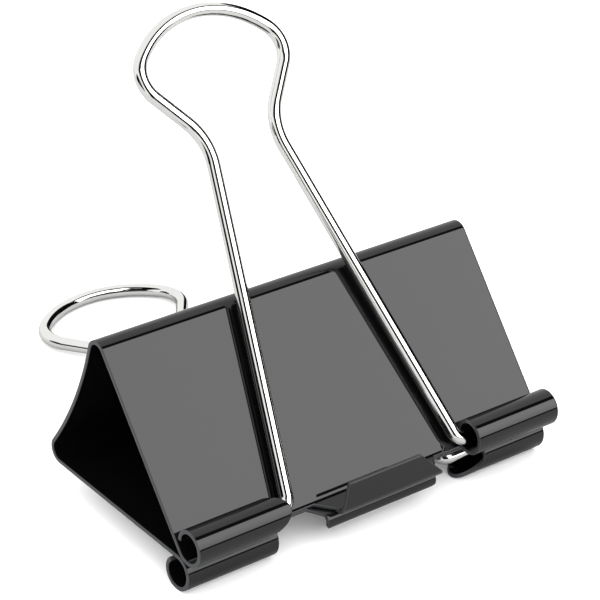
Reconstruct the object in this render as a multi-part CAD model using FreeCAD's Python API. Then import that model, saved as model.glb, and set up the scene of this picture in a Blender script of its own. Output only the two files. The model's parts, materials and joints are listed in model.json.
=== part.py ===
"""Binder clip: one sprung sheet-steel body and two wire handles, in millimetres.

The clip is drawn on its own cross-section (Y towards the spine, Z up from the plane where the
jaws meet), and then laid down as it lies on a table, on its lower rolls and its lower handle.
The steel body is one pressing, cut here into the stretches that move: the spine, the two bends
and the two jaws. The lower side is the upper side turned half round about Y, apart from the
ends of its tab.
"""
import FreeCAD, Part
import math
import os

from FreeCAD import Vector

# Sheet-steel body
WIDTH = 51.0                 # jaw width, along X
SHEET = 0.5                  # thickness of the spring steel
PLATE_ANGLE = 25.0           # slope of each jaw plate from the plane where the jaws meet
FOLD_CENTRE = (21.9, 8.75)   # centre of the upper fold (Y, Z)
FOLD_R = 1.65                # outside radius of the fold
SPINE_BOW_R = 46.0           # outside radius of the inward bow of the spine
JAW_GAP = 0.1                # space left between the two jaws where they meet
SPINE_FOLD_TURN = 40.0       # part of the fold that stays with the spine, degrees
JAW_FOLD_TURN = 38.0         # part of the fold that goes with the jaw, degrees

# Rolled flaps that hold the handle's feet
ROLL_R = 2.2                 # outside radius of a roll
ROLL_END_R = 1.9             # outside radius of its last stretch, which tucks in at the plate
ROLL_MAIN_TURN = 205.0       # turn of the large radius, from the plate to the top of the roll
ROLL_END_TURN = 118.0        # turn of the small radius
ROOT_TURN = 22.0             # turn of the lip that runs the whole width below the plate
NOSED_FLAP_X = -13.1         # inner end of the flap with the rounded nose
PLAIN_FLAP_X = 13.45         # inner end of the flap that is cut square
NOSE_DEPTH = 3.2             # how far the nose falls back at its two edges
NOSE_VIEW = 115.0            # direction from which the nose looks symmetric, degrees

# Centre tab, bent up like a shallow gutter
TAB_FLOOR = 1.3              # flat floor, from the roll's line to the crease
TAB_CREASE_R = 1.1           # outside radius of the crease
TAB_CREASE_TURN = 118.0
TAB_LIP = 2.85               # straight lip after the crease
TAB_ENDS = {                 # X at the tab's root, at its crease and at its free edge
    "upper": ((-9.0, 9.6), (-5.8, 8.55), (-5.0, 5.2)),
    "lower": ((-9.6, 9.6), (-8.4, 7.1), (-5.2, 5.0)),
}

# Wire handle, drawn flat: U across, V along from the axis of its feet
WIRE_R = 0.8
HANDLE_LENGTH = 55.35        # from the feet's axis to the far end of the loop's centre line
FOOT_HALF_SPREAD = 12.1      # where the legs' lines meet the feet's axis
FOOT_SHIFT = 0.35            # both feet stand this far to one side of the loop's middle
FOOT_END = 20.0              # end of a foot, from the middle of the feet
FOOT_BEND_R = 1.6            # centre-line radius of the bend between foot and leg
NECK_HALF_WIDTH = 4.75
NECK_V = 39.2
NECK_R = 7.0
HEAD_R = 11.9                # large arc across the end of the loop
HEAD_HALF_WIDTH = 9.6
SHOULDER_R = 3.6             # the loop's two corners
FOOT_CLEARANCE = 0.25        # between the wire and the face of its plate
HANDLE_LIFT = 0.6            # the folded handle stands off its plate by this angle, degrees


def unit(degrees):
    """The unit vector at an angle in the Y-Z plane."""
    return (math.cos(math.radians(degrees)), math.sin(math.radians(degrees)))


def tilted(point, degrees):
    """A (Y, Z) point turned about X."""
    c, s = unit(degrees)
    return (point[0] * c - point[1] * s, point[0] * s + point[1] * c)


class Strip:
    """The cross-section of a bent sheet: its centre line is walked in lines and arcs."""

    def __init__(self, start, heading):
        self.point = start
        self.heading = heading
        self.left = []
        self.right = []

    def side(self, point, heading, offset):
        across = unit(heading + 90.0)
        return Vector(0, point[0] + across[0] * offset, point[1] + across[1] * offset)

    def line(self, length):
        ahead = unit(self.heading)
        end = (self.point[0] + ahead[0] * length, self.point[1] + ahead[1] * length)
        for edges, offset in ((self.left, SHEET / 2), (self.right, -SHEET / 2)):
            a = self.side(self.point, self.heading, offset)
            b = self.side(end, self.heading, offset)
            edges.append(Part.LineSegment(a, b).toShape())
        self.point = end
        return self

    def arc(self, radius, turn):
        """Turn by so many degrees, to the left if positive, on a centre-line radius."""
        way = math.copysign(1.0, turn)
        across = unit(self.heading + 90.0 * way)
        centre = (self.point[0] + across[0] * radius, self.point[1] + across[1] * radius)
        stations = []
        for share in (0.0, 0.5, 1.0):
            heading = self.heading + turn * share
            out = unit(heading - 90.0 * way)
            stations.append(((centre[0] + out[0] * radius, centre[1] + out[1] * radius), heading))
        for edges, offset in ((self.left, SHEET / 2), (self.right, -SHEET / 2)):
            a, b, c = [self.side(point, heading, offset) for point, heading in stations]
            edges.append(Part.Arc(a, b, c).toShape())
        self.point = stations[2][0]
        self.heading += turn
        return self

    def solid(self, x0, x1):
        first = Part.LineSegment(self.end_of(self.right[0], 0), self.end_of(self.left[0], 0))
        last = Part.LineSegment(self.end_of(self.left[-1], 1), self.end_of(self.right[-1], 1))
        wire = Part.Wire(Part.__sortEdges__(self.left + self.right + [first.toShape(), last.toShape()]))
        face = Part.Face(wire)
        face.translate(Vector(x0, 0, 0))
        return face.extrude(Vector(x1 - x0, 0, 0))

    @staticmethod
    def end_of(edge, which):
        return edge.Vertexes[which].Point


# Facts of the cross-section that follow from the sizes above
HALF = SHEET / 2
FOLD_Y, FOLD_Z = FOLD_CENTRE
BOW_Y = FOLD_Y + math.sqrt((FOLD_R + SPINE_BOW_R) ** 2 - FOLD_Z ** 2)
SPINE_Y = BOW_Y - SPINE_BOW_R - HALF
SPINE_TURN = math.degrees(math.asin(FOLD_Z / (FOLD_R + SPINE_BOW_R)))
PLATE_HEADING = 180.0 + PLATE_ANGLE
FOLD_TURN = PLATE_HEADING - (90.0 - SPINE_TURN)
ROLL_Z = ROLL_R + JAW_GAP / 2
PLATE_OUT = unit(PLATE_ANGLE + 90.0)
PLATE_ALONG = unit(PLATE_ANGLE)
FOLD_EXIT = (FOLD_Y + PLATE_OUT[0] * (FOLD_R - HALF), FOLD_Z + PLATE_OUT[1] * (FOLD_R - HALF))
PLATE_LENGTH = FOLD_EXIT[0] * PLATE_ALONG[0] + (FOLD_EXIT[1] - ROLL_Z) * PLATE_ALONG[1]
PIVOT_FROM_ROLL = ROLL_R - SHEET - WIRE_R - FOOT_CLEARANCE
PIVOT = (-PLATE_OUT[0] * PIVOT_FROM_ROLL, ROLL_Z - PLATE_OUT[1] * PIVOT_FROM_ROLL)


def plate_end():
    """Where the plate's centre line touches the roll."""
    down = ROLL_R - HALF
    return (-PLATE_OUT[0] * down, ROLL_Z - PLATE_OUT[1] * down)


def spine_half():
    """Centre line of the upper half of the spine, from its middle to the fold."""
    return Strip((SPINE_Y, 0.0), 90.0).arc(SPINE_BOW_R + HALF, -SPINE_TURN)


def spine():
    """The bowed back with the near part of both folds."""
    upper = spine_half().arc(FOLD_R - HALF, SPINE_FOLD_TURN).solid(-WIDTH / 2, WIDTH / 2)
    return upper.fuse(turned_over(upper)).removeSplitter()


def bend():
    """The strip of the fold that flexes as the jaw opens."""
    before = spine_half().arc(FOLD_R - HALF, SPINE_FOLD_TURN)
    strip = Strip(before.point, before.heading)
    strip.arc(FOLD_R - HALF, FOLD_TURN - SPINE_FOLD_TURN - JAW_FOLD_TURN)
    return strip.solid(-WIDTH / 2, WIDTH / 2)


def prism(outline, placed, depth):
    """A tool: an outline of pairs, each placed as a point, pushed along a vector."""
    corners = [placed(*pair) for pair in outline]
    return Part.Face(Part.makePolygon(corners + corners[:1])).extrude(depth)


def flap(x0, x1):
    """A full roll from the plate's end round to its tucked-in free edge."""
    strip = Strip(plate_end(), PLATE_HEADING)
    strip.arc(ROLL_R - HALF, -ROLL_MAIN_TURN)
    strip.arc(ROLL_END_R - HALF, -ROLL_END_TURN)
    return strip.solid(x0, x1)


def nose_tool():
    """What is kept of the nosed flap: all of it, with half an ellipse at the front of its end."""
    reach = 4.0 * ROLL_R
    start = NOSED_FLAP_X - NOSE_DEPTH
    tip = Vector(NOSED_FLAP_X, 0, 0)
    side = Vector(start, 0, ROLL_R)
    ellipse = Part.Ellipse(tip, side, Vector(start, 0, 0))
    nose = Part.Face(Part.Wire(ellipse.toShape())).extrude(Vector(0, -reach, 0))
    back = Part.makeBox(WIDTH, 2 * reach, 2 * reach, Vector(start - WIDTH, -reach, -reach))
    tool = back.fuse(nose)
    tool.rotate(Vector(0, 0, 0), Vector(1, 0, 0), NOSE_VIEW - 270.0)
    tool.translate(Vector(0, 0, ROLL_Z))
    return tool


def tab(side):
    """The centre tab: a short floor, a tight crease and a lip that leans back."""
    (root0, root1), (crease0, crease1), (edge0, edge1) = TAB_ENDS[side]
    strip = Strip(plate_end(), PLATE_HEADING)
    strip.arc(ROLL_R - HALF, -PLATE_ANGLE)
    strip.line(TAB_FLOOR)
    strip.arc(TAB_CREASE_R - HALF, -TAB_CREASE_TURN)
    strip.line(TAB_LIP)
    blank = strip.solid(root0, root1)

    root_y = plate_end()[0]
    front_y = -TAB_FLOOR - 2 * TAB_CREASE_R
    crease_z = JAW_GAP / 2 + TAB_CREASE_R
    edge_z = strip.point[1] + SHEET
    floor = prism(
        [(root0, root_y), (root1, root_y), (crease1, -TAB_FLOOR), (crease1, front_y),
         (crease0, front_y), (crease0, -TAB_FLOOR)],
        lambda x, y: Vector(x, y, 0), Vector(0, 0, crease_z))
    lip = prism(
        [(crease0, crease_z), (crease1, crease_z), (edge1, edge_z), (edge0, edge_z)],
        lambda x, z: Vector(x, front_y, z), Vector(0, root_y - front_y, 0))
    return blank.common(floor.fuse(lip))


def jaw(side):
    """A plate with its part of the fold, two rolled flaps and its own centre tab."""
    before = spine_half().arc(FOLD_R - HALF, FOLD_TURN - JAW_FOLD_TURN)
    strip = Strip(before.point, before.heading)
    strip.arc(FOLD_R - HALF, JAW_FOLD_TURN)
    strip.line(PLATE_LENGTH)
    strip.arc(ROLL_R - HALF, -ROOT_TURN)
    plate = strip.solid(-WIDTH / 2, WIDTH / 2)
    nosed = flap(-WIDTH / 2, NOSED_FLAP_X).common(nose_tool())
    plain = flap(PLAIN_FLAP_X, WIDTH / 2)
    return plate.fuse([nosed, plain, tab(side)]).removeSplitter()


def handle_half(shift):
    """Half of the handle's centre line, U along X and V along Y, from its foot to the head arc."""
    neck = Vector(NECK_HALF_WIDTH + NECK_R, NECK_V, 0)
    corner_u = HEAD_HALF_WIDTH - SHOULDER_R
    head_v = HANDLE_LENGTH - HEAD_R
    corner = Vector(corner_u, head_v + math.sqrt((HEAD_R - SHOULDER_R) ** 2 - corner_u ** 2), 0)
    vertex = Vector(FOOT_HALF_SPREAD + shift, 0, 0)

    to_neck = neck - vertex
    leg_heading = math.atan2(to_neck.y, to_neck.x) + math.asin(NECK_R / to_neck.Length)
    leg = Vector(math.cos(leg_heading), math.sin(leg_heading), 0)
    leg_end = vertex + leg * math.sqrt(to_neck.Length ** 2 - NECK_R ** 2)

    tangent_length = FOOT_BEND_R * math.tan((math.pi - leg_heading) / 2)
    bend_start = vertex + Vector(tangent_length, 0, 0)
    bend_end = vertex + leg * tangent_length
    bend_centre = bend_start + Vector(0, FOOT_BEND_R, 0)

    across = corner - neck
    cross = math.asin((NECK_R + SHOULDER_R) / across.Length)
    heading = math.atan2(across.y, across.x) - cross
    left = Vector(-math.sin(heading), math.cos(heading), 0)
    neck_end = neck + left * NECK_R
    shoulder = corner - left * SHOULDER_R
    head_centre = Vector(0, head_v, 0)
    head_start = head_centre + (corner - head_centre).normalize() * HEAD_R

    def middle(centre, a, b, radius):
        return centre + ((a - centre) + (b - centre)).normalize() * radius

    return [
        ("line", Vector(FOOT_END + shift, 0, 0), bend_start),
        ("arc", bend_start, middle(bend_centre, bend_start, bend_end, FOOT_BEND_R), bend_end),
        ("line", bend_end, leg_end),
        ("arc", leg_end, middle(neck, leg_end, neck_end, NECK_R), neck_end),
        ("line", neck_end, shoulder),
        ("arc", shoulder, middle(corner, shoulder, head_start, SHOULDER_R), head_start),
    ]


def handle_path():
    """The whole centre line: the right half, the arc across the loop's end, the left half."""
    right = handle_half(FOOT_SHIFT)
    left = [
        (kind,) + tuple(Vector(-p.x, p.y, 0) for p in reversed(points))
        for kind, *points in reversed(handle_half(-FOOT_SHIFT))
    ]
    head = ("arc", right[-1][-1], Vector(0, HANDLE_LENGTH, 0), left[0][1])
    return right + [head] + left


def handle():
    """The wire swept along its centre line, then set in the rolls and leaned on the plate."""
    edges = []
    for kind, *points in handle_path():
        maker = Part.LineSegment if kind == "line" else Part.Arc
        edges.append(maker(*points).toShape())
    start = Vector(FOOT_END + FOOT_SHIFT, 0, 0)
    section = Part.Wire(Part.makeCircle(WIRE_R, start, Vector(1, 0, 0)))
    wire = Part.Wire(edges).makePipeShell([section], True, False)
    wire.rotate(Vector(0, 0, 0), Vector(1, 0, 0), PLATE_ANGLE + HANDLE_LIFT)
    wire.translate(Vector(0, PIVOT[0], PIVOT[1]))
    return wire


def turned_over(shape):
    """The same shape on the other side: half a turn about Y."""
    copy = shape.copy()
    copy.rotate(Vector(0, 0, 0), Vector(0, 1, 0), 180.0)
    return copy


def lying_angle():
    """The turn about X that puts the lower rolls and the lower handle's end on one level."""
    reach = tilted((HANDLE_LENGTH, 0.0), -(PLATE_ANGLE + HANDLE_LIFT))
    along = PIVOT[0] + reach[0]
    down = ROLL_Z - PIVOT[1] + reach[1]
    slope = math.degrees(math.atan2(down, along))
    return math.degrees(math.asin((WIRE_R - ROLL_R) / math.hypot(along, down))) - slope


def main():
    nodes = {
        "spine": spine(),
        "upper_bend": bend(),
        "lower_bend": turned_over(bend()),
        "upper_jaw": jaw("upper"),
        "lower_jaw": turned_over(jaw("lower")),
        "upper_handle": handle(),
        "lower_handle": turned_over(handle()),
    }

    lie = lying_angle()
    for shape in nodes.values():
        shape.rotate(Vector(0, 0, 0), Vector(1, 0, 0), lie)
    whole = Part.makeCompound(list(nodes.values())).optimalBoundingBox(False)
    origin = Vector(whole.Center.x, whole.Center.y, whole.ZMin)
    for shape in nodes.values():
        shape.translate(origin * -1.0)

    os.makedirs("parts", exist_ok=True)
    for name, shape in nodes.items():
        shape.exportStep("parts/" + name + ".step")

    def placed(y, z):
        y, z = tilted((y, z), lie)
        return "Y %.3f Z %.3f" % (y - origin.y, z - origin.z)

    print("size %.2f x %.2f x %.2f mm" % (whole.XLength, whole.YLength, whole.ZLength))
    print("lying angle %.3f, plate %.2f long" % (lie, PLATE_LENGTH))
    for side, sign in (("upper", 1.0), ("lower", -1.0)):
        print(side, "fold axis", placed(FOLD_Y, sign * FOLD_Z))
        print(side, "feet axis", placed(PIVOT[0], sign * PIVOT[1]))
        print(side, "roll axis", placed(0.0, sign * ROLL_Z))
    for name, shape in nodes.items():
        box = shape.optimalBoundingBox(False)
        print("%-13s %9.3f mm3 valid %s solids %d Z %.3f..%.3f" % (
            name, shape.Volume, shape.isValid(), len(shape.Solids), box.ZMin, box.ZMax))


main()
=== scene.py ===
"""Binder clip: a bent sheet-steel body in gloss enamel and two handles of plated wire.

The body is drawn as one blank that follows the clip's cross-section, then gets its thickness
and its rounded cut edges. The section is drawn on its own axes, in millimetres: Y runs towards
the spine, Z up from the plane where the jaws meet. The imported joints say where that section
lies in the frame. The lower half is the upper one, turned half round about Y, apart from the
ends of its tab.
"""
import bpy, bmesh
import json, math
from mathutils import Matrix, Vector

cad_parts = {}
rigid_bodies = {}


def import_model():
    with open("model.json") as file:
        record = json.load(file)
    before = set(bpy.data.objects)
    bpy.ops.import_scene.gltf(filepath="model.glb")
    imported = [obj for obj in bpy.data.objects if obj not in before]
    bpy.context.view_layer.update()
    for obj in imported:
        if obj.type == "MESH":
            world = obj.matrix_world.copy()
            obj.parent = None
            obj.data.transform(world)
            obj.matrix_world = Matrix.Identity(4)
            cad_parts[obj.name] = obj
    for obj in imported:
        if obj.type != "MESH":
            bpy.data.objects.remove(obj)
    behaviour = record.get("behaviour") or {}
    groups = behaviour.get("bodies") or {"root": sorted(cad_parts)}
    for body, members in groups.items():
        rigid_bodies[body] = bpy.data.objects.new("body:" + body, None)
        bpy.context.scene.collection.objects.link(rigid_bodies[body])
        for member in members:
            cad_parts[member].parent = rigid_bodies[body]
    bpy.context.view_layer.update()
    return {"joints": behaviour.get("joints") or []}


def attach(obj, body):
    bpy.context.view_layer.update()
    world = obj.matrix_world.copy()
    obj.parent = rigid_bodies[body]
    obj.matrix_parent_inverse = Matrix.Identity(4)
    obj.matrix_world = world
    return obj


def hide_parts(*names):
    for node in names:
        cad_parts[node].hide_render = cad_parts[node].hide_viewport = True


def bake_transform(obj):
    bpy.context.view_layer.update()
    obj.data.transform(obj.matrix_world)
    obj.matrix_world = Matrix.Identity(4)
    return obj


for _start_object in list(bpy.data.objects):
    bpy.data.objects.remove(_start_object)
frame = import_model()

bl_info = {
    "name": "Binder clip",
    "version": (1, 0, 0),
    "blender": (4, 5, 0),
    "location": "View3D > Sidebar > Binder clip",
    "description": "Builds a binder clip with an enamelled sheet body and two wire handles",
    "category": "Add Mesh",
}

MM = 0.001
JOINTS = {joint["name"]: joint for joint in frame["joints"]}


# ---------------------------------------------------------------- where the section lies

def pivot(joint):
    """A joint's place in the section's plane, in millimetres."""
    place = Vector(JOINTS[joint]["pos_m"]) / MM
    return Vector((place.y, place.z))


def section_frame(fold_y):
    """The matrix from the section's axes, in millimetres, to the frame, in metres."""
    upper, lower = pivot("upper_jaw_open"), pivot("lower_jaw_open")
    across = upper - lower
    lie = math.atan2(across.y, across.x) - math.pi / 2
    middle = (upper + lower) / 2
    turn = Matrix.Rotation(lie, 4, "X")
    origin = Vector((0, middle.x, middle.y)) - turn @ Vector((0, fold_y, 0))
    return Matrix.Scale(MM, 4) @ Matrix.Translation(origin) @ turn


TURNED_OVER = Matrix.Rotation(math.pi, 4, "Y")


# ---------------------------------------------------------------- settings

class SheetSizes(bpy.types.PropertyGroup):
    """Sizes of the pressed sheet body, in millimetres."""

    width: bpy.props.FloatProperty(
        name="Jaw width", description="Length of the jaws and the spine", default=51.0)
    thickness: bpy.props.FloatProperty(
        name="Sheet", description="Thickness of the spring steel under its enamel", default=0.499)
    plate_slope: bpy.props.FloatProperty(
        name="Plate slope", description="Slope of each plate from the closing plane, degrees",
        default=25.0)
    fold_y: bpy.props.FloatProperty(
        name="Fold Y", description="Distance of the fold's centre behind the rolls", default=21.9)
    fold_z: bpy.props.FloatProperty(
        name="Fold Z", description="Height of the fold's centre over the closing plane",
        default=8.75)
    fold_radius: bpy.props.FloatProperty(
        name="Fold radius", description="Middle-line radius of the fold", default=1.4)
    bow_radius: bpy.props.FloatProperty(
        name="Bow radius", description="Middle-line radius of the inward bow of the spine",
        default=46.25)
    roll_radius: bpy.props.FloatProperty(
        name="Roll radius", description="Middle-line radius of a rolled flap", default=1.95)
    tuck_radius: bpy.props.FloatProperty(
        name="Tuck radius", description="Middle-line radius of a roll's last stretch",
        default=1.65)
    closing_gap: bpy.props.FloatProperty(
        name="Closing gap", description="Space between the two jaws where they meet", default=0.1)
    edge_round: bpy.props.FloatProperty(
        name="Edge round", description="Rounding of the cut edges", default=0.09)
    enamel: bpy.props.FloatVectorProperty(
        name="Enamel", description="Colour of the enamel, as sRGB", subtype="COLOR_GAMMA", size=3,
        min=0.0, max=1.0, default=(0.028, 0.028, 0.031))


class HandleSizes(bpy.types.PropertyGroup):
    """Sizes of the wire handles, in millimetres."""

    wire_radius: bpy.props.FloatProperty(
        name="Wire radius", description="Radius of the plated wire", default=0.79)
    length: bpy.props.FloatProperty(
        name="Length", description="From the feet's axis to the end of the loop", default=55.35)
    foot_spread: bpy.props.FloatProperty(
        name="Foot spread", description="From the middle to the corner of foot and leg",
        default=12.1)
    foot_shift: bpy.props.FloatProperty(
        name="Foot shift", description="Both feet stand this far to one side of the loop",
        default=0.35)
    foot_end: bpy.props.FloatProperty(
        name="Foot end", description="From the middle of the feet to the end of a foot",
        default=20.0)
    foot_bend: bpy.props.FloatProperty(
        name="Foot bend", description="Radius of the bend from foot to leg", default=1.6)
    neck_half_width: bpy.props.FloatProperty(
        name="Neck", description="Half of the narrowest width between the legs", default=4.75)
    neck_place: bpy.props.FloatProperty(
        name="Neck place", description="Distance of the neck from the feet's axis", default=39.2)
    neck_radius: bpy.props.FloatProperty(
        name="Neck radius", description="Radius of the bend at the neck", default=7.0)
    head_radius: bpy.props.FloatProperty(
        name="Head radius", description="Radius of the arc across the loop's end", default=11.9)
    head_half_width: bpy.props.FloatProperty(
        name="Head", description="Half of the loop's greatest width", default=9.6)
    shoulder_radius: bpy.props.FloatProperty(
        name="Shoulder radius", description="Radius of the loop's two corners", default=3.6)
    lean: bpy.props.FloatProperty(
        name="Lean", description="Lean of a folded handle from the closing plane, degrees",
        default=25.6)


class StudioSettings(bpy.types.PropertyGroup):
    """The floor, the lights and the camera."""

    floor_size: bpy.props.FloatProperty(
        name="Floor", description="Side of the floor", default=4.0, subtype="DISTANCE")
    card_light: bpy.props.FloatProperty(
        name="Card light", description="Brightness of the large reflecting card", default=3.5)
    surround_light: bpy.props.FloatProperty(
        name="Surround light", description="Brightness of the white surround", default=1.0)
    dome_light: bpy.props.FloatProperty(
        name="Dome light", description="Brightness of the even light on the floor", default=2.2)
    floor_glow: bpy.props.FloatProperty(
        name="Floor glow", description="Brightness of the light table under the floor",
        default=0.12)
    azimuth: bpy.props.FloatProperty(
        name="Azimuth", description="The camera's turn about Z, degrees", default=-39.73)
    elevation: bpy.props.FloatProperty(
        name="Elevation", description="The camera's height angle, degrees", default=29.95)
    roll: bpy.props.FloatProperty(
        name="Roll", description="The camera's turn about its own axis, degrees", default=3.64)
    distance: bpy.props.FloatProperty(
        name="Distance", description="From the camera to the point it aims at", default=0.28314,
        subtype="DISTANCE")
    aim: bpy.props.FloatVectorProperty(
        name="Aim", description="The point that the camera aims at", size=3, subtype="XYZ",
        unit="LENGTH", default=(0.00378, -0.00837, 0.01770))
    lens: bpy.props.FloatProperty(
        name="Lens", description="Focal length in millimetres", default=149.05)


# ---------------------------------------------------------------- small helpers

def linear(srgb):
    """An sRGB colour, as a hex string or three numbers, in linear light with an alpha of one."""
    if isinstance(srgb, str):
        srgb = [int(srgb[i:i + 2], 16) / 255 for i in (1, 3, 5)]
    return [c / 12.92 if c <= 0.04045 else ((c + 0.055) / 1.055) ** 2.4 for c in srgb] + [1.0]


def node(tree, kind, inputs=None, **settings):
    """Add a node with its settings; an input is a plain value or the output that feeds it."""
    made = tree.nodes.new(kind)
    for key, value in settings.items():
        setattr(made, key, value)
    for key, value in (inputs or {}).items():
        if isinstance(value, bpy.types.NodeSocket):
            tree.links.new(value, made.inputs[key])
        else:
            made.inputs[key].default_value = value
    return made


def piece(name, mesh, material):
    """Put a finished mesh in the scene as an object at the origin."""
    mesh.name = name
    mesh.materials.clear()
    mesh.materials.append(material)
    made = bpy.data.objects.new(name, mesh)
    bpy.context.scene.collection.objects.link(made)
    return made


def settled(source):
    """The plain mesh that an object's modifiers give; the source object is taken away."""
    bpy.context.view_layer.update()
    evaluated = source.evaluated_get(bpy.context.evaluated_depsgraph_get())
    mesh = bpy.data.meshes.new_from_object(evaluated)
    data = source.data
    bpy.data.objects.remove(source)
    if isinstance(data, bpy.types.Curve):
        bpy.data.curves.remove(data)
    return mesh


# ---------------------------------------------------------------- materials

# Real sizes of the finishes' patterns, in millimetres unless the name says otherwise
PEEL_WAVE = 1.2
PEEL_HEIGHT = 0.02
NIB_SPACING = 2.6
NIB_HEIGHT = 0.01
GLOSS_PATCH = 9.0
DIE_LINE_SPACING = 0.12
DIE_LINE_HEIGHT = 0.004
STREAKS_PER_METRE = 60.0
HANDLING_PATCH = 3.5
GRAINS_PER_METRE = 900.0


def black_gloss_enamel(sheet):
    """Stoved black enamel on spring steel, dipped and baked to a mirror gloss.

    The eye gets a near-black body with clear reflections, a very faint orange-peel waviness,
    a few dust nibs, and thin, greyer cut edges: partly where the enamel draws back as it bakes,
    partly a painted highlight that keeps the edges light from any side.
    """
    material = bpy.data.materials.new("Stoved black gloss enamel")
    material.use_nodes = True
    tree = material.node_tree
    tree.nodes.clear()
    place = node(tree, "ShaderNodeTexCoord").outputs["Object"]

    # orange peel: long, low waves, seen only as a soft wobble in reflections
    peel = node(tree, "ShaderNodeTexNoise", {
        "Vector": place, "Scale": 1 / (PEEL_WAVE * MM), "Detail": 1.0, "Roughness": 0.4})
    # dust nibs baked under the gloss, each about 0.1 mm across
    nibs = node(tree, "ShaderNodeTexVoronoi", {
        "Vector": place, "Scale": 1 / (NIB_SPACING * MM), "Randomness": 1.0})
    nib_height = node(tree, "ShaderNodeMapRange", {
        "Value": nibs.outputs["Distance"], "From Min": 0.0, "From Max": 0.03,
        "To Min": 1.0, "To Max": 0.0}, interpolation_type="SMOOTHSTEP")
    # patches of very slightly duller gloss, where the enamel was wiped or handled
    haze = node(tree, "ShaderNodeTexNoise", {
        "Vector": place, "Scale": 1 / (GLOSS_PATCH * MM), "Detail": 3.0, "Roughness": 0.6})
    # cut edges: greyer, rougher enamel where it runs thin, and partly a painted highlight that
    # keeps the edges light from any side
    edge = node(tree, "ShaderNodeAttribute", attribute_name="cut_edge").outputs["Fac"]
    thin_enamel_and_painted_highlight = node(tree, "ShaderNodeMapRange", {
        "Value": edge, "From Min": 0.55, "From Max": 0.95, "To Min": 0.0, "To Max": 1.0},
        interpolation_type="SMOOTHSTEP").outputs["Result"]

    # the enamel's black, lightened to grey on the cut edges as thin enamel and painted highlight
    colour = node(tree, "ShaderNodeMix", {
        "Factor": thin_enamel_and_painted_highlight, 6: linear(sheet.enamel), 7: linear("#2e2f31")}, data_type="RGBA")
    gloss = node(tree, "ShaderNodeMapRange", {
        "Value": haze.outputs["Fac"], "From Min": 0.35, "From Max": 0.7,
        "To Min": 0.030, "To Max": 0.060})
    roughness = node(tree, "ShaderNodeMix", {
        "Factor": thin_enamel_and_painted_highlight, "A": gloss.outputs["Result"], "B": 0.32})
    wave = node(tree, "ShaderNodeBump", {
        "Height": peel.outputs["Fac"], "Strength": 0.05, "Distance": PEEL_HEIGHT * MM})
    relief = node(tree, "ShaderNodeBump", {
        "Height": nib_height.outputs["Result"], "Strength": 0.35, "Distance": NIB_HEIGHT * MM,
        "Normal": wave.outputs["Normal"]})
    shader = node(tree, "ShaderNodeBsdfPrincipled", {
        "Base Color": colour.outputs[2], "Roughness": roughness.outputs["Result"],
        "Metallic": 0.0, "IOR": 1.52, "Normal": relief.outputs["Normal"]})
    node(tree, "ShaderNodeOutputMaterial", {"Surface": shader.outputs["BSDF"]})
    return material


def bright_nickel_wire():
    """Bright nickel plate on cold-drawn steel wire.

    The eye gets a clear, slightly warm mirror round the wire, softened along its length by the
    fine scratches that the drawing die leaves.
    """
    material = bpy.data.materials.new("Bright nickel on drawn wire")
    material.use_nodes = True
    tree = material.node_tree
    tree.nodes.clear()
    along = node(tree, "ShaderNodeAttribute", attribute_name="along").outputs["Fac"]
    around = node(tree, "ShaderNodeAttribute", attribute_name="around").outputs["Fac"]
    line = node(tree, "ShaderNodeCombineXYZ", {"X": along, "Y": around, "Z": 0.0})
    # real die lines are some hundredths of a millimetre apart; drawn coarser, so that they show
    marks = node(tree, "ShaderNodeMapping", {
        "Vector": line.outputs["Vector"],
        "Scale": (STREAKS_PER_METRE, 1 / (DIE_LINE_SPACING * MM), 1.0)})
    die = node(tree, "ShaderNodeTexNoise", {
        "Vector": marks.outputs["Vector"], "Scale": 1.0, "Detail": 2.0, "Roughness": 0.5})
    place = node(tree, "ShaderNodeTexCoord").outputs["Object"]
    # handling haze in patches a few millimetres long
    haze = node(tree, "ShaderNodeTexNoise", {
        "Vector": place, "Scale": 1 / (HANDLING_PATCH * MM), "Detail": 3.0, "Roughness": 0.6})
    colour = node(tree, "ShaderNodeMix", {
        "Factor": haze.outputs["Fac"], 6: linear("#f3f3f1"), 7: linear("#e6e6e3")},
        data_type="RGBA")
    roughness = node(tree, "ShaderNodeMapRange", {
        "Value": haze.outputs["Fac"], "From Min": 0.3, "From Max": 0.75,
        "To Min": 0.05, "To Max": 0.10})
    relief = node(tree, "ShaderNodeBump", {
        "Height": die.outputs["Fac"], "Strength": 0.06, "Distance": DIE_LINE_HEIGHT * MM})
    shader = node(tree, "ShaderNodeBsdfPrincipled", {
        "Base Color": colour.outputs[2], "Metallic": 1.0,
        "Roughness": roughness.outputs["Result"], "Normal": relief.outputs["Normal"]})
    node(tree, "ShaderNodeOutputMaterial", {"Surface": shader.outputs["BSDF"]})
    return material


# ---------------------------------------------------------------- the sheet body

# Turns of the cross-section, degrees, and lengths, millimetres
FIRST_ROLL_TURN = 22.0       # the lip that runs the whole width below the plate
ROLL_TURN = 205.0            # from the plate to the top of the roll
TUCK_TURN = 118.0            # the roll's last stretch
OVERRUN = 2.0                # the blank starts this far past the spine's middle
FINE_ROW = 0.02              # a row each side of the spine's middle, so the halves shade alike
HOLD = 0.25                  # rows and columns this far from a cut edge hold the flat flat

NOSED_FLAP_X = -13.1         # inner end of the flap with the rounded nose
NOSE_DEPTH = 3.2
NOSE_VIEW = 115.0            # direction from which the nose looks symmetric, degrees
PLAIN_FLAP_X = 13.45         # inner end of the flap that is cut square

TAB_FLOOR = 1.3
TAB_CREASE_RADIUS = 0.85
TAB_CREASE_TURN = 118.0
TAB_LIP = 2.85
TAB_ENDS = {                 # X at the tab's root, at its crease and at its free edge
    "upper": ((-9.0, 9.6), (-5.8, 8.55), (-5.0, 5.2)),
    "lower": ((-9.6, 9.6), (-8.4, 7.1), (-5.2, 5.0)),
}

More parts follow.
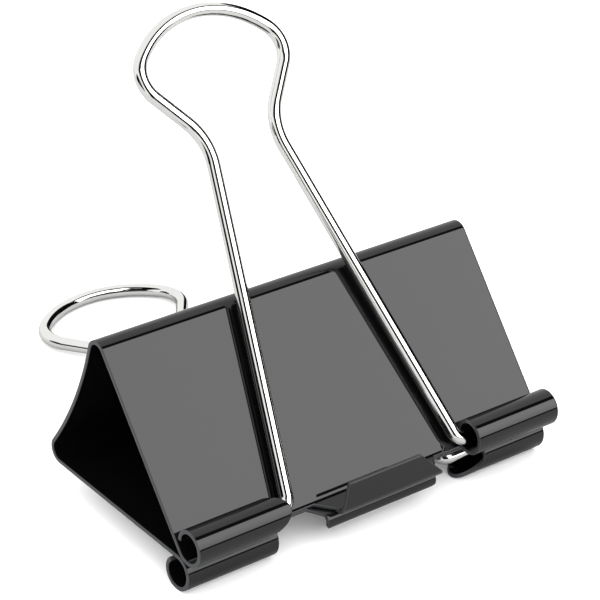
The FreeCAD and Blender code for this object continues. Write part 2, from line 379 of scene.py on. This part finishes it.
# How finely the blank is divided: rows along the section, and columns along X
ROWS = {"bow": 10, "fold": 44, "plate": 5, "lip": 5, "roll": 42, "tuck": 20,
        "tab floor": 2, "crease": 20, "tab lip": 3}
COLUMNS = {"nosed flap": 3, "gap": 2, "tab": 5, "plain flap": 4}
ROUND_SEGMENTS = 3
ROUND_ANGLE = 42.0           # edges sharper than this get rounded, degrees


def unit(degrees):
    return Vector((math.cos(math.radians(degrees)), math.sin(math.radians(degrees))))


class Walk:
    """Stations along the section's middle line: each is a place and a heading."""

    def __init__(self, place, heading):
        self.stations = [(place, heading)]

    def line(self, steps):
        place, heading = self.stations[-1]
        for step in steps:
            self.stations.append((place + unit(heading) * step, heading))
        return self

    def arc(self, radius, turn, rows):
        place, heading = self.stations[-1]
        way = math.copysign(1.0, turn)
        centre = place + unit(heading + 90 * way) * radius
        for row in range(1, rows + 1):
            now = heading + turn * row / rows
            self.stations.append((centre + unit(now - 90 * way) * radius, now))
        return self


def held(length, parts):
    """Distances that cut a length in equal parts, with a short part at each end."""
    inner = length - 2 * HOLD
    return [HOLD + inner * k / parts for k in range(parts + 1)] + [length]


def span(x0, x1, parts):
    """Columns from x0 to x1 with a holding column by each end."""
    reach = x1 - x0
    return [x0] + [x0 + reach * step / abs(reach) for step in held(abs(reach), parts)]


class Section:
    """The rows of the blank, worked out from the sheet's sizes."""

    def __init__(self, sheet, side):
        self.sheet = sheet
        self.tab_x = TAB_ENDS[side]
        self.roll_z = sheet.roll_radius + sheet.thickness / 2 + sheet.closing_gap / 2
        reach = sheet.fold_radius + sheet.bow_radius
        bow_y = sheet.fold_y + math.sqrt(reach ** 2 - sheet.fold_z ** 2)
        self.bow_centre = Vector((bow_y, 0))
        self.spine_turn = math.degrees(math.asin(sheet.fold_z / reach))
        self.plate_heading = 180 + sheet.plate_slope
        fold_turn = self.plate_heading - (90 - self.spine_turn)

        def on_bow(heading):
            return self.bow_centre + unit(heading + 90) * sheet.bow_radius

        overrun = math.degrees(OVERRUN / sheet.bow_radius)
        fine = math.degrees(FINE_ROW / sheet.bow_radius)
        headings = [90 + overrun, 90 + fine, 90, 90 - fine]
        trunk = Walk(on_bow(headings[0]), headings[0])
        trunk.stations = [(on_bow(heading), heading) for heading in headings]
        trunk.arc(sheet.bow_radius, fine - self.spine_turn, ROWS["bow"])
        trunk.arc(sheet.fold_radius, fold_turn, ROWS["fold"])
        place = trunk.stations[-1][0]
        end = self.on_roll(self.plate_heading)
        trunk.line(held((end - place).length, ROWS["plate"]))
        trunk.arc(sheet.roll_radius, -FIRST_ROLL_TURN, ROWS["lip"])
        self.trunk = trunk.stations

        place, heading = trunk.stations[-1]
        roll = Walk(place, heading)
        roll.arc(sheet.roll_radius, FIRST_ROLL_TURN - ROLL_TURN, ROWS["roll"])
        roll.arc(sheet.tuck_radius, -TUCK_TURN, ROWS["tuck"])
        self.roll = roll.stations

        tab = Walk(place, heading)
        tab.arc(sheet.roll_radius, FIRST_ROLL_TURN - sheet.plate_slope, 1)
        tab.line(held(TAB_FLOOR, ROWS["tab floor"]))
        tab.arc(TAB_CREASE_RADIUS, -TAB_CREASE_TURN, ROWS["crease"])
        tab.line(held(TAB_LIP, ROWS["tab lip"]))
        self.tab = tab.stations

    def on_roll(self, heading):
        return Vector((0, self.roll_z)) + unit(heading + 90) * self.sheet.roll_radius

    def nose_end(self, station):
        """How far the nosed flap reaches at a row: half an ellipse on the side it is seen from."""
        place, heading = station
        half = self.sheet.thickness / 2
        skin = place + unit(heading + 90) * half - Vector((0, self.roll_z))
        towards = skin.dot(unit(NOSE_VIEW))
        beside = skin.dot(unit(NOSE_VIEW + 90)) / (self.sheet.roll_radius + half)
        bulge = math.sqrt(max(0.0, 1 - beside ** 2)) if towards > 0 else 0.0
        return NOSED_FLAP_X - NOSE_DEPTH * (1 - bulge)

    def tab_ends(self, station):
        """The tab's two ends at a row: it narrows to the crease, then again to its free edge."""
        place = station[0]
        root_x, crease_x, free_x = self.tab_x
        root_y = self.on_roll(self.plate_heading).x
        crease_z = self.sheet.closing_gap / 2 + TAB_CREASE_RADIUS + self.sheet.thickness / 2
        edge_z = self.tab[-1][0].y
        if place.y > crease_z:
            share = (place.y - crease_z) / (edge_z - crease_z)
            pairs = zip(crease_x, free_x)
        else:
            share = min(1.0, (root_y - place.x) / (root_y + TAB_FLOOR))
            pairs = zip(root_x, crease_x)
        return [a + (b - a) * share for a, b in pairs]


def half_blank(section):
    """The middle surface of the upper half, with its two flaps and its tab, as one mesh."""
    side = section.sheet.width / 2
    root = section.trunk[-1]
    nose_x = section.nose_end(root)
    tab_x = section.tab_ends(root)
    nosed = span(-side, nose_x, COLUMNS["nosed flap"])
    middle = span(tab_x[0], tab_x[1], COLUMNS["tab"])
    plain = span(PLAIN_FLAP_X, side, COLUMNS["plain flap"])
    left_gap = span(nose_x, tab_x[0], COLUMNS["gap"])[1:-1]
    right_gap = span(tab_x[1], PLAIN_FLAP_X, COLUMNS["gap"])[1:-1]
    columns = nosed + left_gap + middle + right_gap + plain

    mesh = bmesh.new()

    def row_of(station, xs):
        place = station[0]
        return [mesh.verts.new((x, place.x, place.y)) for x in xs]

    def join(row, next_row):
        for k in range(len(row) - 1):
            mesh.faces.new((row[k], row[k + 1], next_row[k + 1], next_row[k]))

    last = row_of(section.trunk[0], columns)
    for station in section.trunk[1:]:
        row = row_of(station, columns)
        join(last, row)
        last = row

    def branch(xs, stations, ends):
        """Go on from a part of the last row, with the columns pulled to each row's ends."""
        first = columns.index(xs[0])
        row = last[first:first + len(xs)]
        for station in stations[1:]:
            x0, x1 = ends(station)
            stretch = (x1 - x0) / (xs[-1] - xs[0])
            next_row = row_of(station, [x0 + (x - xs[0]) * stretch for x in xs])
            join(row, next_row)
            row = next_row

    branch(nosed, section.roll, lambda station: (-side, section.nose_end(station)))
    branch(plain, section.roll, lambda station: (PLAIN_FLAP_X, side))
    branch(middle, section.tab, section.tab_ends)
    mesh.normal_update()
    return mesh


def half_body(sheet, side):
    """Half of the pressing, drawn as an upper half, as a closed mesh on the section's axes."""
    section = Section(sheet, side)
    blank = half_blank(section)
    flat = bpy.data.meshes.new("blank")
    blank.to_mesh(flat)
    blank.free()
    work = bpy.data.objects.new("blank", flat)
    bpy.context.scene.collection.objects.link(work)
    edge_group = work.vertex_groups.new(name="cut edges")

    wall = work.modifiers.new("Sheet thickness", "SOLIDIFY")
    wall.thickness = sheet.thickness
    wall.offset = 0.0
    wall.use_even_offset = True
    wall.use_quality_normals = True
    wall.rim_vertex_group = edge_group.name
    rounding = work.modifiers.new("Rounded cut edges", "BEVEL")
    rounding.width = sheet.edge_round
    rounding.segments = ROUND_SEGMENTS
    rounding.limit_method = "ANGLE"
    rounding.angle_limit = math.radians(ROUND_ANGLE)
    rounding.use_clamp_overlap = False
    mesh = settled(work)
    bpy.data.meshes.remove(flat)

    # the rounded rim of the blank keeps its weight, which tells the enamel where it runs thin
    # and where its painted edge highlight goes
    bm = bmesh.new()
    bm.from_mesh(mesh)
    weights = bm.verts.layers.deform.verify()
    rim = bm.verts.layers.float.new("cut_edge")
    for vert in bm.verts:
        vert[rim] = max(vert[weights].values(), default=0.0)
    cut = bmesh.ops.bisect_plane(
        bm, geom=bm.verts[:] + bm.edges[:] + bm.faces[:], plane_co=(0, 0, 0),
        plane_no=(0, 0, 1), dist=1e-7, clear_inner=True)
    seam = [item for item in cut["geom_cut"] if isinstance(item, bmesh.types.BMEdge)]
    ends = bmesh.ops.holes_fill(bm, edges=seam, sides=0)["faces"]
    for face in bm.faces:
        face.smooth = face not in ends
    for edge in seam:
        edge.smooth = False
    bmesh.ops.recalc_face_normals(bm, faces=bm.faces[:])
    bm.to_mesh(mesh)
    bm.free()
    return mesh


class CLIP_OT_sheet_body(bpy.types.Operator):
    """Build the two halves of the pressed body, each from the spine's middle to its flaps"""

    bl_idname = "clip.sheet_body"
    bl_label = "Sheet body"

    def execute(self, context):
        sheet = context.scene.clip_sheet
        enamel = black_gloss_enamel(sheet)
        to_frame = section_frame(sheet.fold_y)
        for name, turn, nodes in (
                ("upper", Matrix.Identity(4), ("upper_jaw", "upper_bend", "spine")),
                ("lower", TURNED_OVER, ("lower_jaw", "lower_bend"))):
            mesh = half_body(sheet, name)
            mesh.transform(to_frame @ turn)
            made = piece(name + "_body_half", mesh, enamel)
            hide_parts(*nodes)
            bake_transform(made)
        return {"FINISHED"}


# ---------------------------------------------------------------- the handles

ARC_STEP = 3.0               # degrees between points on the wire's bends
WIRE_SIDES = 64
# the rounded end of a foot: millimetres from the end, and the share of the full thickness
TIP_ROUND = ((0.0, 0.72), (0.06, 0.88), (0.16, 0.97), (0.3, 1.0))


def handle_half(sizes, shift):
    """Half of the wire's middle line in its own plane, from a foot's end to the loop's end.

    Each point comes with the wire's thickness there, as a share of the full thickness.
    """
    neck = Vector((sizes.neck_half_width + sizes.neck_radius, sizes.neck_place))
    corner_u = sizes.head_half_width - sizes.shoulder_radius
    head_v = sizes.length - sizes.head_radius
    inner = sizes.head_radius - sizes.shoulder_radius
    corner = Vector((corner_u, head_v + math.sqrt(inner ** 2 - corner_u ** 2)))
    vertex = Vector((sizes.foot_spread + shift, 0))

    # the leg runs from the foot's corner to touch the neck's circle
    to_neck = neck - vertex
    leg = math.atan2(to_neck.y, to_neck.x) + math.asin(sizes.neck_radius / to_neck.length)
    ahead = Vector((math.cos(leg), math.sin(leg)))
    leg_end = vertex + ahead * math.sqrt(to_neck.length ** 2 - sizes.neck_radius ** 2)
    trim = sizes.foot_bend * math.tan((math.pi - leg) / 2)
    bend_start = vertex + Vector((trim, 0))

    # the straight between the neck and the loop's corner touches both of their circles
    across = corner - neck
    heading = math.atan2(across.y, across.x) - math.asin(
        (sizes.neck_radius + sizes.shoulder_radius) / across.length)
    left = Vector((-math.sin(heading), math.cos(heading)))
    head_centre = Vector((0, head_v))
    head_start = head_centre + (corner - head_centre).normalized() * sizes.head_radius

    def arc(centre, start, end):
        a, b = start - centre, end - centre
        turn = math.atan2(a.x * b.y - a.y * b.x, a.dot(b))
        count = max(2, math.ceil(abs(math.degrees(turn)) / ARC_STEP))
        return [centre + Matrix.Rotation(turn * k / count, 2) @ a for k in range(count + 1)]

    bends = arc(bend_start + Vector((0, sizes.foot_bend)), bend_start, vertex + ahead * trim)
    bends += arc(neck, leg_end, neck + left * sizes.neck_radius)
    bends += arc(corner, corner - left * sizes.shoulder_radius, head_start)
    top = Vector((0, sizes.length))
    half = bends + arc(head_centre, head_start, top)[1:]
    end = sizes.foot_end + shift
    tips = [(Vector((end - step, 0)), thickness) for step, thickness in TIP_ROUND]
    return tips + [(point, 1.0) for point in half]


def handle_line(sizes):
    """The whole middle line: the right half, then the left half back to its foot."""
    right = handle_half(sizes, sizes.foot_shift)
    left = reversed(handle_half(sizes, -sizes.foot_shift)[:-1])
    return right + [(Vector((-point.x, point.y)), thickness) for point, thickness in left]


def drawn_wire_tree():
    """A node tree that draws a round wire along a curve and keeps the place along and around."""
    tree = bpy.data.node_groups.new("Drawn wire", "GeometryNodeTree")
    for name, kind, direction in (
            ("Line", "NodeSocketGeometry", "INPUT"), ("Wire radius", "NodeSocketFloat", "INPUT"),
            ("Sides", "NodeSocketInt", "INPUT"), ("Finish", "NodeSocketMaterial", "INPUT"),
            ("Wire", "NodeSocketGeometry", "OUTPUT")):
        tree.interface.new_socket(name, in_out=direction, socket_type=kind)
    given = node(tree, "NodeGroupInput").outputs
    along = node(tree, "GeometryNodeSplineParameter").outputs["Length"]
    line = node(tree, "GeometryNodeStoreNamedAttribute", {
        "Geometry": given["Line"], "Name": "along", "Value": along},
        data_type="FLOAT", domain="POINT")
    round_section = node(tree, "GeometryNodeCurvePrimitiveCircle", {
        "Resolution": given["Sides"], "Radius": given["Wire radius"]})
    around = node(tree, "GeometryNodeSplineParameter").outputs["Length"]
    section = node(tree, "GeometryNodeStoreNamedAttribute", {
        "Geometry": round_section.outputs["Curve"], "Name": "around", "Value": around},
        data_type="FLOAT", domain="POINT")
    wire = node(tree, "GeometryNodeCurveToMesh", {
        "Curve": line.outputs["Geometry"], "Profile Curve": section.outputs["Geometry"],
        "Fill Caps": True})
    smooth = node(tree, "GeometryNodeSetShadeSmooth", {"Geometry": wire.outputs["Mesh"]})
    real = node(tree, "GeometryNodeRealizeInstances", {"Geometry": smooth.outputs["Geometry"]})
    finished = node(tree, "GeometryNodeSetMaterial", {
        "Geometry": real.outputs["Geometry"], "Material": given["Finish"]})
    node(tree, "NodeGroupOutput", {"Wire": finished.outputs["Geometry"]})
    return tree


def swept_handle(sizes, tree, finish):
    """One handle as a plain mesh in its own plane, in metres: U along X and V along Y."""
    points = handle_line(sizes)
    line = bpy.data.curves.new("handle line", "CURVE")
    line.dimensions = "3D"
    spline = line.splines.new("POLY")
    spline.points.add(len(points) - 1)
    for spot, (place, thickness) in zip(spline.points, points):
        spot.co = (place.x * MM, place.y * MM, 0, 1)
        spot.radius = thickness
    work = bpy.data.objects.new("handle line", line)
    bpy.context.scene.collection.objects.link(work)
    sweep = work.modifiers.new("Drawn wire", "NODES")
    sweep.node_group = tree
    values = {"Wire radius": sizes.wire_radius * MM, "Sides": WIRE_SIDES, "Finish": finish}
    for socket in tree.interface.items_tree:
        if socket.name in values:
            sweep[socket.identifier] = values[socket.name]
    return settled(work)


class CLIP_OT_wire_handles(bpy.types.Operator):
    """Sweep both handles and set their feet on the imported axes"""

    bl_idname = "clip.wire_handles"
    bl_label = "Wire handles"

    def execute(self, context):
        sizes = context.scene.clip_handle
        nickel = bright_nickel_wire()
        tree = drawn_wire_tree()
        turn = section_frame(context.scene.clip_sheet.fold_y).to_3x3().normalized().to_4x4()
        for name, side in (("upper", Matrix.Identity(4)), ("lower", TURNED_OVER)):
            mesh = swept_handle(sizes, tree, nickel)
            feet = Matrix.Translation(Vector(JOINTS[name + "_handle_swing"]["pos_m"]))
            lean = Matrix.Rotation(math.radians(sizes.lean), 4, "X")
            mesh.transform(feet @ turn @ side @ lean)
            made = piece(name + "_wire_handle", mesh, nickel)
            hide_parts(name + "_handle")
            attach(made, name + "_handle")
        bpy.data.node_groups.remove(tree)
        return {"FINISHED"}


# ---------------------------------------------------------------- the stage

# The card's place in the surround: its turn about X up from the front, and its reach along X
CARD_TURN = (8.0, 63.0)      # degrees
CARD_REACH = (-0.15, 0.71)
BORDER_TURN = (9.0, 20.0)    # the card's black border, below and above it, degrees
BORDER_REACH = 0.48          # and at its left end
FADE_TURN = 38.0             # below this turn the card fades towards its lower end
FADE_LEFT = 0.72             # the share of its brightness that is left there
FLAG_REACH = (-0.89, 0.71)   # black flags close both sides of the surround beyond these
SOFT_EDGE = 0.012

# The softbox over the clip and the camera's body
SOFTBOX_SIDE = 0.9
SOFTBOX_POWER = 0.3
SOFTBOX_PLACE = (0.15, 0.1, 1.0)
SENSOR_WIDTH = 36.0
NEAR_CLIP = 0.01


def surround(studio):
    """A white surround with one bright card in a black border, and a black flag on each side.

    Only reflections see the card and the flags. The matt floor gets an even white dome instead.
    """
    world = bpy.data.worlds.new("Studio surround")
    bpy.context.scene.world = world
    world.use_nodes = True
    tree = world.node_tree
    tree.nodes.clear()
    way = node(tree, "ShaderNodeTexCoord").outputs["Generated"]
    parts = node(tree, "ShaderNodeSeparateXYZ", {"Vector": way}).outputs
    front = node(tree, "ShaderNodeMath", {0: parts["Y"], 1: -1.0}, operation="MULTIPLY")
    turn = node(tree, "ShaderNodeMath", {0: parts["Z"], 1: front.outputs[0]},
                operation="ARCTAN2").outputs[0]

    def inside(value, low, high):
        """One between two limits and zero outside them, with a soft step at each."""
        middle, half = (low + high) / 2, (high - low) / 2
        offset = node(tree, "ShaderNodeMath", {0: value, 1: middle}, operation="SUBTRACT")
        away = node(tree, "ShaderNodeMath", {0: offset.outputs[0]}, operation="ABSOLUTE")
        return node(tree, "ShaderNodeMapRange", {
            "Value": away.outputs[0], "From Min": half - SOFT_EDGE, "From Max": half + SOFT_EDGE,
            "To Min": 1.0, "To Max": 0.0}, interpolation_type="SMOOTHSTEP").outputs["Result"]

    def box(turns, reach):
        sides = [inside(turn, math.radians(turns[0]), math.radians(turns[1])),
                 inside(parts["X"], reach[0], reach[1])]
        return node(tree, "ShaderNodeMath", {0: sides[0], 1: sides[1]},
                    operation="MULTIPLY").outputs[0]

    card = box(CARD_TURN, CARD_REACH)
    border = box((CARD_TURN[0] - BORDER_TURN[0], CARD_TURN[1] + BORDER_TURN[1]),
                 (CARD_REACH[0] - BORDER_REACH, CARD_REACH[1] + BORDER_REACH))
    open_side = inside(parts["X"], *FLAG_REACH)
    plain = node(tree, "ShaderNodeMath", {0: open_side, 1: studio.surround_light},
                 operation="MULTIPLY")
    fade = node(tree, "ShaderNodeMapRange", {
        "Value": turn, "From Min": math.radians(CARD_TURN[0]), "From Max": math.radians(FADE_TURN),
        "To Min": FADE_LEFT * studio.card_light, "To Max": studio.card_light})
    dim = node(tree, "ShaderNodeMix", {"Factor": border, "A": plain.outputs[0], "B": 0.0})
    lit = node(tree, "ShaderNodeMix", {
        "Factor": card, "A": dim.outputs["Result"], "B": fade.outputs["Result"]})
    gloss = node(tree, "ShaderNodeLightPath").outputs["Is Glossy Ray"]
    strength = node(tree, "ShaderNodeMix", {
        "Factor": gloss, "A": studio.dome_light, "B": lit.outputs["Result"]})
    light = node(tree, "ShaderNodeBackground", {
        "Color": (1.0, 1.0, 1.0, 1.0), "Strength": strength.outputs["Result"]})
    node(tree, "ShaderNodeOutputWorld", {"Surface": light.outputs["Background"]})


def white_floor(glow):
    """The opal acrylic top of a light table, which gives an even white and a tight shadow.

    The gloss sees it dimmer than the eye does, as through a polarising filter.
    """
    material = bpy.data.materials.new("Matt opal acrylic")
    material.use_nodes = True
    tree = material.node_tree
    tree.nodes.clear()
    place = node(tree, "ShaderNodeTexCoord").outputs["Object"]
    grain = node(tree, "ShaderNodeTexNoise", {
        "Vector": place, "Scale": GRAINS_PER_METRE, "Detail": 2.0})
    tone = node(tree, "ShaderNodeMix", {
        "Factor": grain.outputs["Fac"], 6: linear("#f6f6f6"), 7: linear("#fafafa")},
        data_type="RGBA")
    gloss = node(tree, "ShaderNodeLightPath").outputs["Is Glossy Ray"]
    seen = node(tree, "ShaderNodeMix", {
        "Factor": gloss, 6: tone.outputs[2], 7: linear("#a6a6a6")}, data_type="RGBA")
    light = node(tree, "ShaderNodeMix", {"Factor": gloss, "A": glow, "B": 0.0})
    shader = node(tree, "ShaderNodeBsdfPrincipled", {
        "Base Color": seen.outputs[2], "Roughness": 0.9, "Specular IOR Level": 0.1,
        "Emission Color": (1.0, 1.0, 1.0, 1.0), "Emission Strength": light.outputs["Result"]})
    node(tree, "ShaderNodeOutputMaterial", {"Surface": shader.outputs["BSDF"]})
    return material


class CLIP_OT_studio(bpy.types.Operator):
    """Lay the floor, hang the lights and set up the camera"""

    bl_idname = "clip.studio"
    bl_label = "Studio"

    def execute(self, context):
        studio = context.scene.clip_studio
        scene = context.scene
        side = studio.floor_size / 2
        mesh = bpy.data.meshes.new("studio_floor")
        corners = [(-side, -side, 0), (side, -side, 0), (side, side, 0), (-side, side, 0)]
        mesh.from_pydata(corners, [], [(0, 1, 2, 3)])
        floor = piece("studio_floor", mesh, white_floor(studio.floor_glow))
        surround(studio)
        scene.view_settings.view_transform = "Standard"

        lamp = bpy.data.lights.new("overhead_softbox", "AREA")
        lamp.shape = "RECTANGLE"
        lamp.size = SOFTBOX_SIDE
        lamp.size_y = SOFTBOX_SIDE
        lamp.energy = SOFTBOX_POWER
        overhead = bpy.data.objects.new("overhead_softbox", lamp)
        overhead.location = SOFTBOX_PLACE
        overhead.rotation_euler = (overhead.location * -1).to_track_quat("-Z", "Y").to_euler()
        overhead.visible_glossy = False
        scene.collection.objects.link(overhead)

        azimuth, elevation = math.radians(studio.azimuth), math.radians(studio.elevation)
        back = Vector((math.sin(azimuth) * math.cos(elevation),
                       -math.cos(azimuth) * math.cos(elevation), math.sin(elevation)))
        view = bpy.data.cameras.new("camera")
        view.lens = studio.lens
        view.sensor_width = SENSOR_WIDTH
        view.clip_start = NEAR_CLIP
        camera = bpy.data.objects.new("camera", view)
        camera.location = Vector(studio.aim) + back * studio.distance
        level = (-back).to_track_quat("-Z", "Y").to_matrix()
        tilt = Matrix.Rotation(math.radians(studio.roll), 3, "Z")
        camera.rotation_euler = (level @ tilt).to_euler()
        scene.collection.objects.link(camera)
        scene.camera = camera
        return {"FINISHED"}


# ---------------------------------------------------------------- the add-on

class CLIP_PT_panel(bpy.types.Panel):
    """The clip's operators and sizes in the 3D view's sidebar"""

    bl_idname = "CLIP_PT_panel"
    bl_label = "Binder clip"
    bl_space_type = "VIEW_3D"
    bl_region_type = "UI"
    bl_category = "Binder clip"

    def draw(self, context):
        scene = context.scene
        for operator, settings in (
                ("clip.sheet_body", scene.clip_sheet), ("clip.wire_handles", scene.clip_handle),
                ("clip.studio", scene.clip_studio)):
            box = self.layout.box()
            box.operator(operator)
            for name in settings.bl_rna.properties.keys():
                if name not in {"rna_type", "name"}:
                    box.prop(settings, name)


SETTINGS = {"clip_sheet": SheetSizes, "clip_handle": HandleSizes, "clip_studio": StudioSettings}
CLASSES = (*SETTINGS.values(), CLIP_OT_sheet_body, CLIP_OT_wire_handles, CLIP_OT_studio,
           CLIP_PT_panel)


def register():
    for cls in CLASSES:
        bpy.utils.register_class(cls)
    for name, cls in SETTINGS.items():
        setattr(bpy.types.Scene, name, bpy.props.PointerProperty(type=cls))


def unregister():
    for name in SETTINGS:
        delattr(bpy.types.Scene, name)
    for cls in reversed(CLASSES):
        bpy.utils.unregister_class(cls)


def main():
    """Build the whole clip on its stage."""
    register()
    bpy.ops.clip.studio()
    bpy.ops.clip.sheet_body()
    bpy.ops.clip.wire_handles()


if __name__ == "__main__":
    main()
